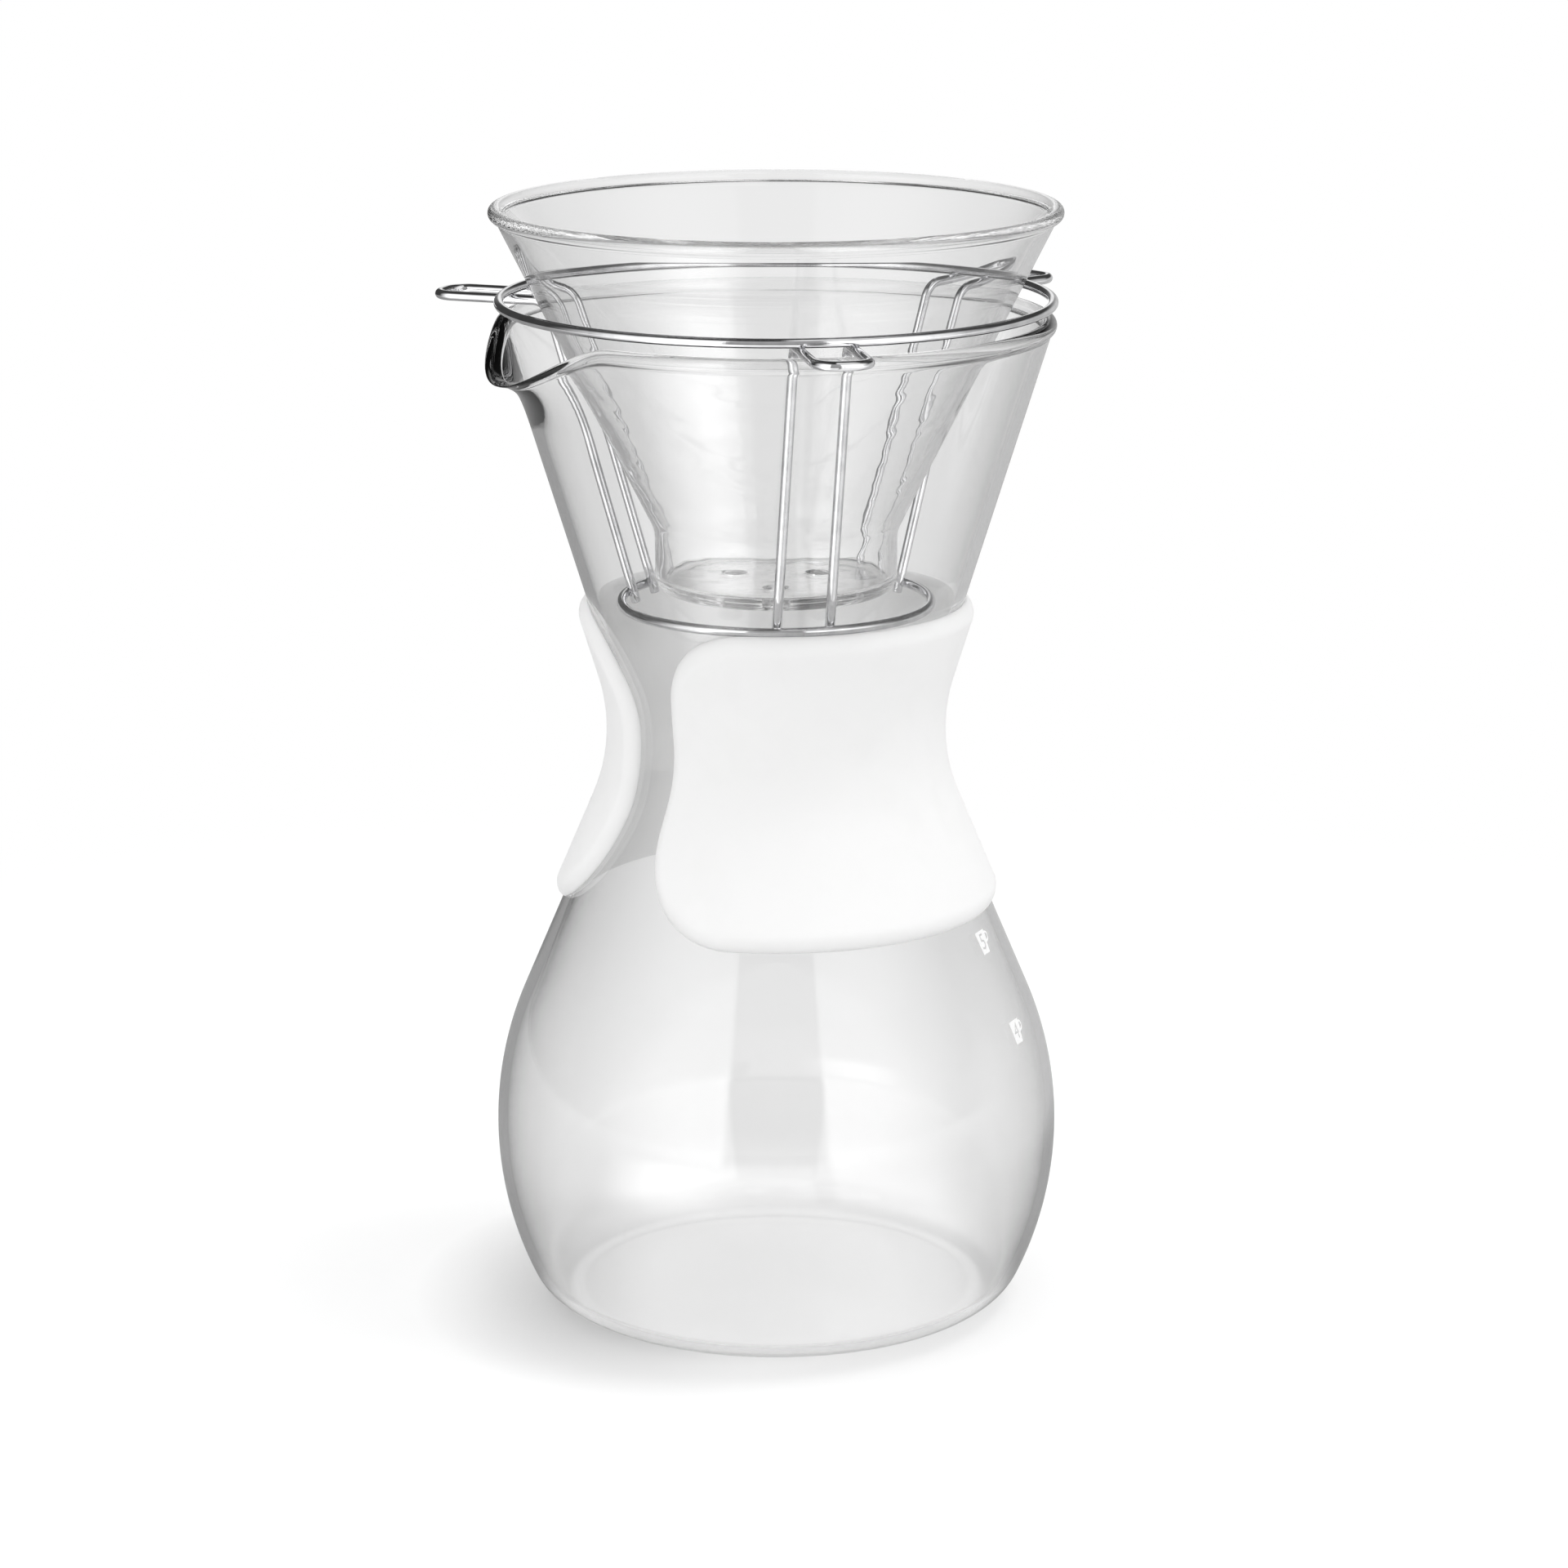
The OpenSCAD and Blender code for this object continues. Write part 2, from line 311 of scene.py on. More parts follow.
class Channel:
    """One output of a shader graph, with arithmetic that adds Math nodes.

    The sign | is the larger of two values, which is either of two masks, and & is the smaller, which is both.
    """

    __add__, __radd__ = math_method("ADD"), math_method("ADD", swapped=True)
    __sub__, __rsub__ = math_method("SUBTRACT"), math_method("SUBTRACT", swapped=True)
    __mul__, __truediv__ = math_method("MULTIPLY"), math_method("DIVIDE")
    __or__, __and__ = math_method("MAXIMUM"), math_method("MINIMUM")

    def __init__(self, graph: "ShaderGraph", socket: bpy.types.NodeSocket | None) -> None:
        """Keeps the graph and the socket."""
        self.graph = graph
        self.socket = socket

    def math(self, operation: str, left: "Operand", right: "Operand") -> "Channel":
        """Adds one Math node that works on two values."""
        return self.graph.add("Math", {"operation": operation}, {0: left, 1: right})

    def step(self, low: float, high: float) -> "Channel":
        """A smooth step that is 0 at low and 1 at high."""
        return self.graph.add("MapRange", {"interpolation_type": "SMOOTHSTEP"},
                              {"Value": self, "From Min": low, "From Max": high})

    def between(self, start: Span, end: Span) -> "Channel":
        """A soft window: a step up over the first span and a step down over the second."""
        return self.step(*start) * (1.0 - self.step(*end))

    def beside(self, name: str) -> "Channel":
        """Another output of the same node."""
        return Channel(self.graph, self.socket.node.outputs[name])


Operand = Channel | float


class ShaderGraph:
    """The node tree of one material or of the world."""

    def __init__(self, owner: Finish | bpy.types.World) -> None:
        """Starts an empty tree.

        Args:
            owner: The material or the world.
        """
        owner.use_nodes = True
        self.owner, self.tree = owner, owner.node_tree
        self.tree.nodes.clear()

    def add(self, kind: str, settings: Mapping[str, object] | None = None,
            inputs: Mapping[str | int, object] | None = None, output: str | int = 0) -> Channel:
        """Adds one node.

        Args:
            kind: The node's type, without the first words that all have.
            settings: Its settings, which are set first.
            inputs: Values or links of its sockets.
            output: The output to go on with.

        Returns:
            That output, or an empty channel where the node has none.
        """
        node = self.tree.nodes.new(f"ShaderNode{kind}")
        for name, value in (settings or {}).items():
            setattr(node, name, value)
        for key, value in (inputs or {}).items():
            socket = node.inputs[key]
            if isinstance(value, Channel):
                self.tree.links.new(value.socket, socket)
            else:
                grey = socket.type == "RGBA" and isinstance(value, float)
                socket.default_value = (value, value, value, 1.0) if grey else value
        return Channel(self, node.outputs[output] if len(node.outputs) else None)

    def place(self) -> Channel:
        """Object coordinates, in metres."""
        return self.add("TexCoord", output="Object")

    def noise(self, place: Channel, scale: float, detail: float = 2.0) -> Channel:
        """Noise between 0 and 1, with about scale bumps to a metre and detail octaves of finer noise."""
        return self.add("TexNoise", inputs={"Vector": place, "Scale": scale, "Detail": detail}, output="Fac")

    def stretched(self, place: Channel, scale: Triple) -> Channel:
        """Coordinates scaled by a factor along each axis."""
        return self.add("Mapping", inputs={"Vector": place, "Scale": scale})

    def bump(self, height: Channel, depth: float, strength: float) -> Channel:
        """A normal bent by heights from 0 to 1 that stand for a depth in millimetres."""
        return self.add("Bump", inputs={"Strength": strength, "Distance": depth * MM, "Height": height})

    def blend(self, share: Channel, low: Colour | Operand, high: Colour | Operand) -> Channel:
        """A colour between two: the first where the share is 0, the second where it is 1."""
        return self.add("Mix", {"data_type": "RGBA"}, {0: share, 6: low, 7: high}, output=2)

    def mix(self, share: Channel, low: Channel, high: Channel) -> Channel:
        """A shader between two: the first where the share is 0, the second where it is 1."""
        return self.add("MixShader", inputs={0: share, 1: low, 2: high})

    def clear(self, tint: float) -> Channel:
        """A shader that lets light straight through, dimmed to a grey."""
        return self.add("BsdfTransparent", inputs={"Color": tint})

    def emission(self, strength: Channel) -> Channel:
        """A shader that gives white light."""
        return self.add("Emission", inputs={"Color": 1.0, "Strength": strength})

    def rays(self, *kinds: Ray) -> Channel:
        """Tells rays apart.

        Args:
            kinds: Kinds of ray.

        Returns:
            1 for rays of any of these kinds, 0 for others.
        """
        path = self.add("LightPath", output=kinds[0].value)
        found = path
        for kind in kinds[1:]:
            found = found | path.beside(kind.value)
        return found

    def mirrored(self) -> Channel:
        """1 for rays that a mirror or a shiny face has turned on their way, 0 for others."""
        return self.add("LightPath", output="Glossy Depth") & 1.0

    def end(self, surface: Channel, volume: Channel | None = None) -> Finish | bpy.types.World:
        """Joins the shaders to the tree's output.

        Args:
            surface: Shader of the surface.
            volume: Shader of the inside, if it has one.

        Returns:
            The material or the world that the tree belongs to.
        """
        kind = "World" if isinstance(self.owner, bpy.types.World) else "Material"
        shaders = {"Surface": surface} | ({"Volume": volume} if volume else {})
        self.add(f"Output{kind}", inputs=shaders)
        return self.owner


@dataclass(frozen=True)
class ClearGlass:
    """Clear neutral glass with a faint ripple from its making, which lets lamps through."""

    name: str
    ripple_height: float
    ripple_scale: Triple
    ripple_fade: Span = (300.0, 400.0)
    ior: float = 1.47
    tint: float = 0.99
    body_grey: float = 0.5
    body_density: float = 45.0
    shadow: float = 0.98
    shadow_edge: float = 0.15
    shadow_blend: float = 0.2
    smudge: float = 0.008
    smudge_scale: float = 45.0
    smudge_step: Span = (0.5, 0.75)

    def make(self) -> Finish:
        """Builds the material: a ripple bends the surface, and smudges vary its gloss.

        Returns:
            The material.
        """
        graph = ShaderGraph(bpy.data.materials.new(self.name))
        place = graph.place()
        height = graph.add("SeparateXYZ", inputs={0: place}, output="Z") / MM
        ripple = graph.noise(graph.stretched(place, self.ripple_scale), 1.0, detail=1.0)
        ripple = ripple * (1.0 - height.step(*self.ripple_fade))
        smudges = graph.noise(place, self.smudge_scale, detail=3.0).step(*self.smudge_step)
        glass = graph.add("BsdfPrincipled", inputs={
            "Base Color": self.tint, "Roughness": smudges * self.smudge, "IOR": self.ior,
            "Transmission Weight": 1.0, "Normal": graph.bump(ripple, self.ripple_height, 1.0)})
        slant = graph.add("LayerWeight", inputs={"Blend": self.shadow_blend}, output="Facing")
        shade = graph.mix(slant, graph.clear(self.shadow), graph.clear(self.shadow_edge))
        surface = graph.mix(graph.rays(Ray.DIFFUSE), glass, graph.clear(1.0))
        surface = graph.mix(graph.rays(Ray.SHADOW), surface, shade)
        inside = graph.add("VolumeAbsorption", inputs={
            "Color": self.body_grey, "Density": self.body_density}) if self.body_density else None
        return graph.end(surface, inside)


@dataclass(frozen=True)
class PolishedWire:
    """Bright drawn wire, with fine lines along it and a little haze."""

    name: str = "polished_wire"
    bright: Colour = (0.76, 0.76, 0.77, 1.0)
    dull: Colour = (0.62, 0.62, 0.63, 1.0)
    roughness: float = 0.03
    haze: float = 0.05
    patch_scale: float = 220.0
    patch_step: Span = (0.35, 0.7)
    line_scale: Triple = (2600.0, 2600.0, 180.0)
    line_height: float = 0.01
    line_strength: float = 0.25

    def make(self) -> Finish:
        """Builds the material: noise in the object's space varies tone, gloss and surface.

        Returns:
            The material.
        """
        graph = ShaderGraph(bpy.data.materials.new(self.name))
        place = graph.place()
        patches = graph.noise(place, self.patch_scale, detail=4.0)
        lines = graph.noise(graph.stretched(place, self.line_scale), 1.0)
        metal = graph.add("BsdfPrincipled", inputs={
            "Base Color": graph.blend(patches.step(*self.patch_step), self.bright, self.dull),
            "Metallic": 1.0, "Roughness": patches * self.haze + self.roughness,
            "Normal": graph.bump(lines, self.line_height, self.line_strength)})
        return graph.end(metal)


@dataclass(frozen=True)
class MatteSilicone:
    """White moulded silicone with a fine matte grain."""

    name: str = "matte_silicone"
    white: Colour = (0.93, 0.93, 0.925, 1.0)
    shade: Colour = (0.90, 0.90, 0.895, 1.0)
    ior: float = 1.41
    roughness: float = 0.48
    mottle_scale: float = 60.0
    mottle_step: Span = (0.45, 0.8)
    mottle_gloss: float = 0.12
    grain_scale: float = 2600.0
    grain_height: float = 0.012
    grain_strength: float = 0.35
    milky: float = 0.8
    milky_colour: Triple = (1.0, 1.0, 1.0)
    milky_depth: float = 0.007

    def make(self) -> Finish:
        """Builds the material: fine noise gives the grain, and broad noise a faint mottle.

        Returns:
            The material.
        """
        graph = ShaderGraph(bpy.data.materials.new(self.name))
        place = graph.place()
        mottle = graph.noise(place, self.mottle_scale, detail=3.0)
        grain = graph.noise(place, self.grain_scale)
        soft = graph.add("BsdfPrincipled", inputs={
            "Base Color": graph.blend(mottle.step(*self.mottle_step), self.white, self.shade),
            "Roughness": mottle * self.mottle_gloss + self.roughness, "IOR": self.ior,
            "Normal": graph.bump(grain, self.grain_height, self.grain_strength),
            "Subsurface Weight": self.milky, "Subsurface Radius": self.milky_colour,
            "Subsurface Scale": self.milky_depth})
        return graph.end(soft)


@dataclass(frozen=True)
class WhitePrint:
    """White screen-printed ink, a little uneven."""

    name: str = "white_print"
    white: float = 0.94
    thin: float = 0.84
    cover_scale: float = 1500.0
    cover_step: Span = (0.55, 0.8)
    cover_gloss: float = 0.2
    roughness: float = 0.45

    def make(self) -> Finish:
        """Builds the material: noise makes the ink thinner in places.

        Returns:
            The material.
        """
        graph = ShaderGraph(bpy.data.materials.new(self.name))
        cover = graph.noise(graph.place(), self.cover_scale, detail=3.0)
        ink = graph.add("BsdfPrincipled", inputs={
            "Base Color": graph.blend(cover.step(*self.cover_step), self.white, self.thin),
            "Roughness": cover * self.cover_gloss + self.roughness})
        return graph.end(ink)


def tie(piece: Thing, body: Body, finish: Finish,
        replaces: str | None = None) -> None:
    """Dresses an object and ties it to its body.

    Args:
        piece: The object.
        body: The body that it rides on.
        finish: Its material.
        replaces: The CAD node that it stands for, if any.
    """
    piece.data.materials.clear()
    piece.data.materials.append(finish)
    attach(piece, body.value)
    if replaces:
        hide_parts(replaces)
    log.info("%s rides on %s, %d faces", piece.name, body.value, len(piece.data.polygons))


@dataclass
class Carafe:
    """The blown glass carafe: flat base, bulb, waist, funnel, rolled rim and drawn-out spout."""

    height: float = 206.0
    bulb_d: float = 116.0
    bulb_z: float = 37.5
    bulb_r: float = 72.0
    base_corner_r: float = 12.0
    waist_d: float = 64.0
    waist_z: float = 121.5
    waist_r: float = 40.0
    cone_angle: float = 17.2
    wall: float = 2.0
    rim_bead_d: float = 3.2
    rim_fillet: float = 2.0
    spout_reach: float = 5.0
    spout_dip: float = 10.0
    spout_half_angle: float = 30.0
    spout_h: float = 22.0
    spout_turn: float = 180.0
    columns: int = 240
    steps: tuple[int, ...] = (8, 12, 34, 26, 36)

    def __post_init__(self) -> None:
        """Works out the centres of the arcs that draw the side, and where they meet."""
        self.bulb_c = np.array([self.bulb_d / 2 - self.bulb_r, self.bulb_z])
        self.waist_c = np.array([self.waist_d / 2 + self.waist_r, self.waist_z])
        reach = np.sqrt((self.bulb_r - self.base_corner_r) ** 2 - (self.bulb_z - self.base_corner_r) ** 2)
        self.corner_c = np.array([self.bulb_c[0] + reach, self.base_corner_r])
        down = self.corner_c - self.bulb_c
        self.corner_angle = float(np.degrees(np.arctan2(down[1], down[0])))
        apart = self.waist_c - self.bulb_c
        lean = np.degrees(np.arccos((self.bulb_r + self.waist_r) / np.linalg.norm(apart)))
        self.shoulder_angle = float(np.degrees(np.arctan2(apart[1], apart[0])) - lean)
        self.rim_z = self.height - self.rim_bead_d / 2
        self.rim_r = self.cone_r(self.rim_z, self.wall / 2)
        self.spout_root_z = self.height - self.spout_h

    def cone_r(self, z: float | np.ndarray, depth: float) -> float | np.ndarray:
        """Radius of the funnel wall at a height, at a depth inside the outer face."""
        return (self.waist_c[0] + (z - self.waist_z) * tand(self.cone_angle)
                - (self.waist_r + depth) / cosd(self.cone_angle))

    def shoulder_r(self, z: float | np.ndarray, depth: float) -> float | np.ndarray:
        """Radius of the straight shoulder at a height, at a depth inside the outer face."""
        drop = (z - self.waist_z) * sind(self.shoulder_angle)
        return self.waist_c[0] - (self.waist_r + depth + drop) / cosd(self.shoulder_angle)

    def side(self, depth: float) -> np.ndarray:
        """Half section from the axis to the root of the rim: base, corner, bulb, waist and funnel.

        Args:
            depth: Distance inside the outer face.

        Returns:
            Points as (radius, height).
        """
        base, corner, bulb, waist, funnel = self.steps
        top = self.rim_z - self.rim_bead_d
        cone_start = self.waist_c + (self.waist_r + depth) * np.array(
            [-cosd(self.cone_angle), sind(self.cone_angle)])
        return chain(
            line((0.0, depth), (self.corner_c[0], depth), base),
            arc(self.corner_c, self.base_corner_r - depth, -90.0, self.corner_angle, corner),
            arc(self.bulb_c, self.bulb_r - depth, self.corner_angle, self.shoulder_angle, bulb),
            arc(self.waist_c, self.waist_r + depth,
                180.0 + self.shoulder_angle, 180.0 - self.cone_angle, waist),
            line(cone_start, (self.cone_r(top, depth), top), funnel))

    def section(self) -> np.ndarray:
        """Whole half section: up the outer face, over the rolled rim and down the inner face."""
        bead = beaded((self.rim_r, self.rim_z), self.rim_bead_d / 2, self.cone_angle,
                      self.wall / 2, self.wall / 2, self.rim_fillet)
        return chain(self.side(0.0), bead, self.side(self.wall)[::-1])

    def drawn(self, grid: np.ndarray, angles: np.ndarray) -> np.ndarray:
        """Draws the spout out of the turned wall.

        A point moves out by the reach and down by the dip, times the square of
        cos(90 a / half angle) (z - root) / height, where a is its angle from the spout's middle.

        Args:
            grid: Points of the turned wall.
            angles: Angles of the columns.

        Returns:
            The moved points.
        """
        off = np.abs((angles - self.spout_turn + 180.0) % 360.0 - 180.0)[None, :]
        lift = np.clip((grid[..., 2] - self.spout_root_z) / self.spout_h, 0.0, None)
        bow = np.where(off < self.spout_half_angle, cosd(90.0 * off / self.spout_half_angle), 0.0)
        share = (bow * lift) ** 2
        out = np.stack([cosd(angles), sind(angles), np.zeros_like(angles)], axis=1)[None]
        down = np.array([0.0, 0.0, self.spout_dip])
        return grid + share[..., None] * (self.spout_reach * out - down)

    def build(self, glass: Finish) -> None:
        """Makes the carafe.

        Args:
            glass: Its finish.
        """
        angles = around(self.columns)
        wall = self.drawn(turned(self.section(), angles), angles)
        piece = MeshDraft().grid(wall, wrap_columns=True).make("carafe_body")
        tie(piece, Body.CARAFE, glass, "carafe")


@dataclass
class CupMarks:
    """Printed mugs on the bulb, each with the number of cups left open in it."""

    carafe: Carafe
    heights: Mapping[str, float] = field(default_factory=lambda: {"5": 80.5, "4": 62.5})
    turn: float = -49.0
    top_w: float = 4.2
    low_w: float = 3.0
    mug_h: float = 4.8
    handle_reach: float = 1.5
    handle_wall: float = 0.5
    handle_h: float = 2.4
    handle_b: float = 0.8
    hole_inset: float = 0.2
    digit_h: float = 3.4
    digit_share: float = 0.72
    ink: float = 0.02
    lift: float = 0.06
    side_points: int = 60
    hole_points: int = 32

    def right_side(self, up: np.ndarray, reach: float, half_h: float) -> np.ndarray:
        """Right edge of the mug by height: its slanting side plus a half ellipse for the handle."""
        side = (self.low_w + (self.top_w - self.low_w) * (up / self.mug_h + 0.5)) / 2
        return side + reach * np.sqrt(np.clip(1.0 - ((up - self.handle_b) / half_h) ** 2, 0.0, None))

    def outlines(self) -> list[np.ndarray]:
        """Draws the mug with its handle, and the opening of the handle, which is half an ellipse.

        Returns:
            Both outlines, as (right, up) points.
        """
        half = self.mug_h / 2
        up = np.linspace(half, -half, self.side_points)
        right = np.stack([self.right_side(up, self.handle_reach, self.handle_h / 2), up], axis=1)
        left = np.array([[-self.low_w / 2, -half], [-self.top_w / 2, half]])
        turn = around(self.hole_points)
        turn = turn[cosd(turn) > -TOUCH]
        rise = self.handle_b + (self.handle_h / 2 - self.handle_wall) * sind(turn)
        width = (self.handle_reach - self.handle_wall) * np.clip(cosd(turn), 0.0, None)
        hole = np.stack([self.right_side(rise, 0.0, 1.0) + self.hole_inset + width, rise], axis=1)
        return [np.concatenate([right, left]), hole]

    def flat(self, digit: str) -> bpy.types.Mesh:
        """Makes the flat mark: the mug filled, with its digit and the handle's opening left open.

        Args:
            digit: The number of cups.

        Returns:
            The mesh, in millimetres, as (right, up, out).
        """
        text = bpy.data.curves.new("mark", "FONT")
        text.body, text.size = digit, self.digit_h / self.digit_share
        text.align_x, text.align_y = "CENTER", "CENTER"
        writer = linked("mark", text)
        shape = writer.to_curve(bpy.context.evaluated_depsgraph_get()).copy()
        bpy.data.objects.remove(writer)
        shape.dimensions, shape.fill_mode, shape.extrude = "2D", "BOTH", self.ink
        for outline in self.outlines():
            spline = shape.splines.new("POLY")
            spline.points.add(len(outline) - 1)
            spline.points.foreach_set("co", np.pad(outline, ((0, 0), (0, 2))).ravel())
            spline.use_cyclic_u = True
        holder = bpy.data.objects.new("mark", shape)
        mesh = bpy.data.meshes.new_from_object(holder)
        bpy.data.objects.remove(holder)
        return mesh

    def on_bulb(self, flat: np.ndarray, z: float) -> np.ndarray:
        """Lays flat points on the carafe: right goes round it, up climbs its section and out leaves it.

        Args:
            flat: Points as (right, up, out).
            z: Height of the mark's middle.

        Returns:
            Points in the part's frame.
        """
        section = self.carafe.side(0.0)
        climb = np.concatenate([[0.0], np.cumsum(np.linalg.norm(np.diff(section, axis=0), axis=1))])
        tangent = np.gradient(section, climb, axis=0)
        at = np.interp(z, section[:, 1], climb) + flat[:, 1]
        radius, height, rise_r, rise_z = (
            np.interp(at, climb, values) for values in (*section.T, *tangent.T))
        out = flat[:, 2] + self.lift
        angle = self.turn + np.degrees(flat[:, 0] / radius)
        radius, height = radius + out * rise_z, height - out * rise_r
        return np.stack([radius * cosd(angle), radius * sind(angle), height], axis=1)

    def build(self, ink: Finish) -> None:
        """Makes the marks.

        Args:
            ink: Their finish.
        """
        for digit, z in self.heights.items():
            mesh = self.flat(digit)
            mesh.name = f"cup_mark_{digit}"
            flat = np.zeros(len(mesh.vertices) * 3, np.float32)
            mesh.vertices.foreach_get("co", flat)
            placed = self.on_bulb(flat.reshape(-1, 3).astype(float), z)
            mesh.vertices.foreach_set("co", (placed * MM).astype(np.float32).ravel())
            mesh.update()
            tie(linked(mesh.name, mesh), Body.CARAFE, ink)


@dataclass
class GripSleeve:
    """The silicone sleeve round the waist, slotted down one side, with round corners and soft edges."""

    carafe: Carafe
    low: float = 85.4
    high: float = 148.3
    wall: float = 2.5
    gap: float = 10.7
    slot_aside: float = 9.55
    corner_turn: float = 33.5
    top_corner: float = 24.0
    low_corner: float = 25.5
    edge_w: float = 2.8
    edge_bend: float = 1.6
    clear: float = 0.2
    rows: int = 84
    columns: int = 220

    def inner(self, z: np.ndarray) -> tuple[np.ndarray, np.ndarray]:
        """The sleeve's inner face and its outward direction, by height.

        It follows the shoulder, the waist's arc and the funnel, each moved out by the room to the glass.

        Args:
            z: Heights.

        Returns:
            Radii, and directions as (radius, height).
        """
        glass = self.carafe
        rho = glass.waist_r - self.clear
        rise = z - glass.waist_z
        low, high = -rho * sind(glass.shoulder_angle), rho * sind(glass.cone_angle)
        round_r = glass.waist_c[0] - np.sqrt(np.clip(rho ** 2 - rise ** 2, 0.0, None))
        radius = np.where(rise < low, glass.shoulder_r(z, -self.clear),
                          np.where(rise > high, glass.cone_r(z, -self.clear), round_r))
        tilt = np.degrees(np.arcsin(np.clip(rise / rho, -sind(glass.shoulder_angle), sind(glass.cone_angle))))
        return radius, np.stack([cosd(tilt), -sind(tilt)], axis=-1)

    def edge_distance(self, off: np.ndarray, z: np.ndarray, radius: np.ndarray) -> np.ndarray:
        """Distance from the sleeve's outline, a rectangle with elliptic corners.

        In a corner it is (1 - rho) over the slope of rho, where rho is the length of the two shares
        (1 - place / size) across and along the corner, and elsewhere the distance from the nearest edge.

        Args:
            off: Angles from the slot's nearer edge.
            z: Heights.
            radius: Radii of the inner face.

        Returns:
            Distances, 0 on the outline.
        """
        mm_per_degree = np.radians(1.0) * radius
        distance = np.minimum(off * mm_per_degree, np.minimum(self.high - z, z - self.low))
        u = np.clip(1.0 - off / self.corner_turn, 0.0, 1.0) + np.zeros_like(z)
        for size, drop in ((self.top_corner, self.high - z), (self.low_corner, z - self.low)):
            v = np.clip(1.0 - drop / size, 0.0, 1.0)
            rho = np.maximum(np.hypot(u, v), TOUCH)
            slope = np.hypot(u / (self.corner_turn * mm_per_degree), v / size) / rho
            distance = np.where((u > 0.0) & (v > 0.0), (1.0 - rho) / np.maximum(slope, TOUCH), distance)
        return np.clip(distance, 0.0, None)

    def sheets(self) -> tuple[np.ndarray, np.ndarray]:
        """Outer and inner face of the sleeve, which meet along its outline.

        Columns go round from one edge of the slot to the other, and rows climb between the outline's lower
        and upper curves. The slot has the same width at every height and lies aside of the spout's middle.
        The outer face stands off the inner one by the wall times (1 - (1 - d / w)^p)^(1 / p), where d is the
        distance from the outline, w the width of the soft edge and p its bend, or by the whole wall.

        Returns:
            Two grids of points.
        """
        share = eased(self.columns) * 0.5
        share = np.concatenate([share, (1.0 - share)[::-1][1:]])[None, :]
        waist = self.inner(np.array(self.carafe.waist_z))[0]
        off = np.minimum(share, 1.0 - share) * (360.0 - np.degrees(self.gap / waist))
        bow = 1.0 - np.sqrt(1.0 - np.clip(1.0 - off / self.corner_turn, 0.0, 1.0) ** 2)
        top, bottom = self.high - self.top_corner * bow, self.low + self.low_corner * bow
        z = bottom + (top - bottom) * eased(self.rows)[:, None]
        radius, out = self.inner(z)
        near = np.clip(self.edge_distance(off, z, radius) / self.edge_w, 0.0, 1.0)
        lift = self.wall * (1.0 - (1.0 - near) ** self.edge_bend) ** (1.0 / self.edge_bend)
        lift[[0, -1], :] = lift[:, [0, -1]] = 0.0
        start = np.degrees((self.slot_aside + self.gap / 2) / radius)
        angles = self.carafe.spout_turn + start + share * (360.0 - np.degrees(self.gap / radius))
        faces = []
        for height in (lift, np.zeros_like(lift)):
            r = radius + height * out[..., 0]
            faces.append(np.stack([r * cosd(angles), r * sind(angles), z + height * out[..., 1]], axis=2))
        return faces[0], faces[1]

    def build(self, silicone: Finish) -> None:
        """Makes the sleeve.

        Args:
            silicone: Its finish.
        """
        outer, inner = self.sheets()
        piece = MeshDraft().grid(outer).grid(inner[::-1]).make("sleeve_body")
        tie(piece, Body.GRIP, silicone, "grip_sleeve")


